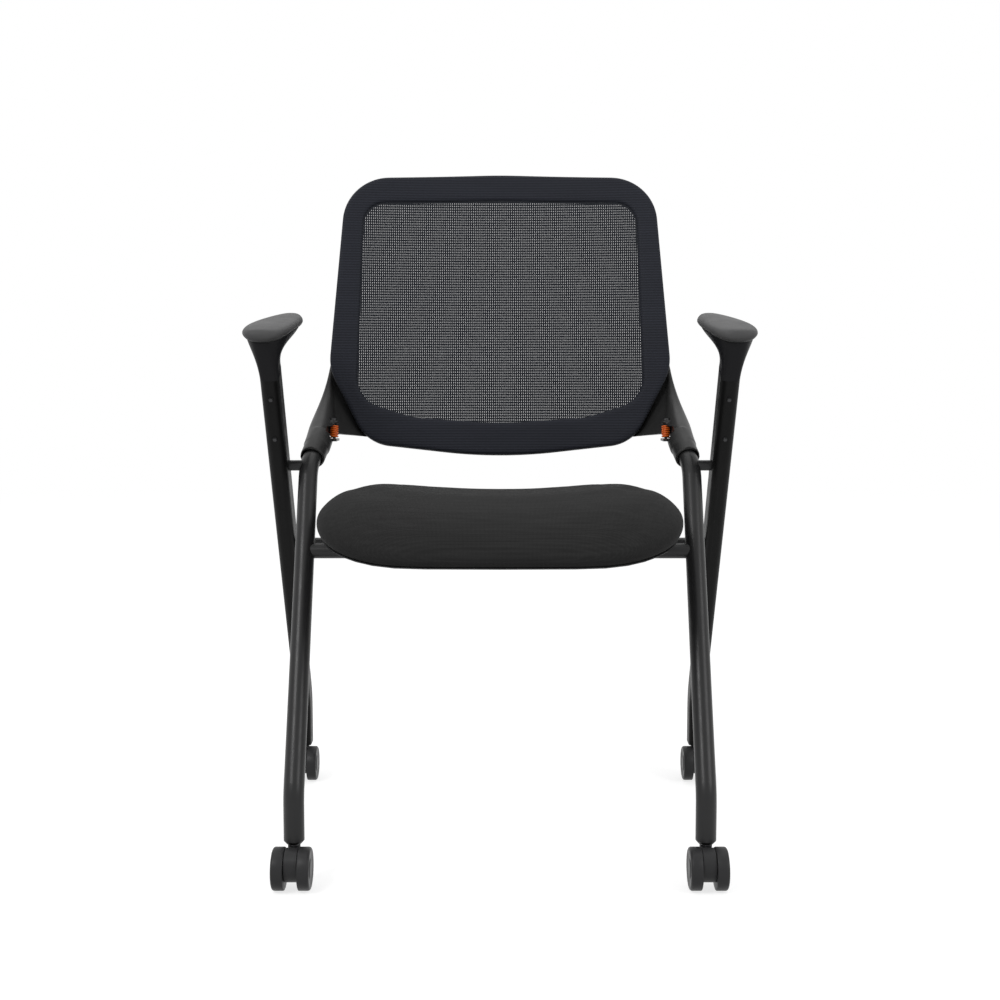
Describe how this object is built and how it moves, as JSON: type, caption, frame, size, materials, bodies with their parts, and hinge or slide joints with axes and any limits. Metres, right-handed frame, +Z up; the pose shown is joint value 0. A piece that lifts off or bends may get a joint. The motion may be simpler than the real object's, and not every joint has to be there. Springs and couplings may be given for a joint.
{
  "type": "nesting chair",
  "caption": "Nesting chair on twin-wheel casters with crossed tube legs, a flip-up padded seat, paddle armrests and a sprung net back in a covered frame.",
  "frame": {"origin": "on the floor, at the middle of the chair's floor plan box", "axes": "+Z up, the sitter faces -Y, +X is the sitter's left"},
  "size_m": [0.6472, 0.5306, 0.9064],
  "materials": {
    "frame_paint": "satin black powder coat on steel tube",
    "black_plastic": "fine-grained black moulding",
    "soft_pad": "soft-touch grey moulding, slightly sheeny",
    "bumper_rubber": "matte black rubber",
    "steel": "bright zinc plated steel",
    "spring_orange": "orange coated spring wire",
    "knit_cover": "finely ribbed blue-black knit",
    "net": "open blue-black net",
    "plywood": "raw moulded plywood",
    "seat_cloth": "closely woven charcoal black cloth on foam",
    "nylon": "grey nylon bush",
    "caster_plastic": "black nylon moulding",
    "wheel_nylon": "dark grey nylon wheel, satin"
  },
  "bodies": {
    "frame": {"front_leg_left": "frame_paint", "front_leg_right": "frame_paint", "rear_leg_left": "frame_paint", "rear_leg_right": "frame_paint", "front_cross_bar": "frame_paint", "rear_cross_bar": "frame_paint", "leg_spacers": "frame_paint", "front_leg_plugs": "black_plastic", "rear_leg_plugs": "black_plastic", "caster_stems": "steel", "tilt_pins": "steel", "spring_seats": "frame_paint", "arm_bracket_left": "black_plastic", "arm_bracket_right": "black_plastic", "arm_pad_left": "soft_pad", "arm_pad_right": "soft_pad", "arm_screws": "steel", "spring_left": "spring_orange", "spring_right": "spring_orange", "spring_bolts": "steel"},
    "back": {"back_bracket_left": "black_plastic", "back_bracket_right": "black_plastic", "bracket_screws": "steel", "back_rim": "black_plastic", "rim_cover": "knit_cover", "back_mesh": "net"},
    "seat": {"seat_shell": "black_plastic", "seat_board": "plywood", "seat_cushion": "seat_cloth", "seat_hinge_left": "frame_paint", "seat_hinge_right": "frame_paint", "hinge_bushes": "nylon", "seat_bumpers": "bumper_rubber", "seat_screws": "steel", "shell_screws": "steel"},
    "front_left_caster": {"front_left_housing": "caster_plastic", "front_left_axle": "steel"},
    "front_left_wheel_outer": {"front_left_wheel_outer": "wheel_nylon"},
    "front_left_wheel_inner": {"front_left_wheel_inner": "wheel_nylon"},
    "front_right_caster": {"front_right_housing": "caster_plastic", "front_right_axle": "steel"},
    "front_right_wheel_outer": {"front_right_wheel_outer": "wheel_nylon"},
    "front_right_wheel_inner": {"front_right_wheel_inner": "wheel_nylon"},
    "rear_left_caster": {"rear_left_housing": "caster_plastic", "rear_left_axle": "steel"},
    "rear_left_wheel_outer": {"rear_left_wheel_outer": "wheel_nylon"},
    "rear_left_wheel_inner": {"rear_left_wheel_inner": "wheel_nylon"},
    "rear_right_caster": {"rear_right_housing": "caster_plastic", "rear_right_axle": "steel"},
    "rear_right_wheel_outer": {"rear_right_wheel_outer": "wheel_nylon"},
    "rear_right_wheel_inner": {"rear_right_wheel_inner": "wheel_nylon"}
  },
  "joints": [
    {"name": "seat_flip", "type": "hinge", "parent": "frame", "child": "seat", "pos_m": [0, 0.07462, 0.377], "axis": [-1, 0, 0], "range_deg": [0, 65]},
    {"name": "back_tilt", "type": "hinge", "parent": "frame", "child": "back", "pos_m": [0, 0.03527, 0.51318], "axis": [-1, 0, 0], "range_deg": [0, 3.5], "stiffness_Nm_per_rad": 120, "springref_deg": -5.73, "deforming": ["spring_left", "spring_right"]},
    {"name": "front_left_swivel", "type": "hinge", "parent": "frame", "child": "front_left_caster", "pos_m": [0.247, -0.21975, 0.054], "axis": [0, 0, 1], "continuous": true},
    {"name": "front_left_roll_outer", "type": "hinge", "parent": "front_left_caster", "child": "front_left_wheel_outer", "pos_m": [0.247, -0.23975, 0.0255], "axis": [1, 0, 0], "continuous": true},
    {"name": "front_left_roll_inner", "type": "hinge", "parent": "front_left_caster", "child": "front_left_wheel_inner", "pos_m": [0.247, -0.23975, 0.0255], "axis": [1, 0, 0], "continuous": true},
    {"name": "front_right_swivel", "type": "hinge", "parent": "frame", "child": "front_right_caster", "pos_m": [-0.247, -0.21975, 0.054], "axis": [0, 0, 1], "continuous": true},
    {"name": "front_right_roll_outer", "type": "hinge", "parent": "front_right_caster", "child": "front_right_wheel_outer", "pos_m": [-0.247, -0.23975, 0.0255], "axis": [1, 0, 0], "continuous": true},
    {"name": "front_right_roll_inner", "type": "hinge", "parent": "front_right_caster", "child": "front_right_wheel_inner", "pos_m": [-0.247, -0.23975, 0.0255], "axis": [1, 0, 0], "continuous": true},
    {"name": "rear_left_swivel", "type": "hinge", "parent": "frame", "child": "rear_left_caster", "pos_m": [0.3, 0.24525, 0.054], "axis": [0, 0, 1], "continuous": true},
    {"name": "rear_left_roll_outer", "type": "hinge", "parent": "rear_left_caster", "child": "rear_left_wheel_outer", "pos_m": [0.3, 0.22525, 0.0255], "axis": [1, 0, 0], "continuous": true},
    {"name": "rear_left_roll_inner", "type": "hinge", "parent": "rear_left_caster", "child": "rear_left_wheel_inner", "pos_m": [0.3, 0.22525, 0.0255], "axis": [1, 0, 0], "continuous": true},
    {"name": "rear_right_swivel", "type": "hinge", "parent": "frame", "child": "rear_right_caster", "pos_m": [-0.3, 0.24525, 0.054], "axis": [0, 0, 1], "continuous": true},
    {"name": "rear_right_roll_outer", "type": "hinge", "parent": "rear_right_caster", "child": "rear_right_wheel_outer", "pos_m": [-0.3, 0.22525, 0.0255], "axis": [1, 0, 0], "continuous": true},
    {"name": "rear_right_roll_inner", "type": "hinge", "parent": "rear_right_caster", "child": "rear_right_wheel_inner", "pos_m": [-0.3, 0.22525, 0.0255], "axis": [1, 0, 0], "continuous": true}
  ]
}
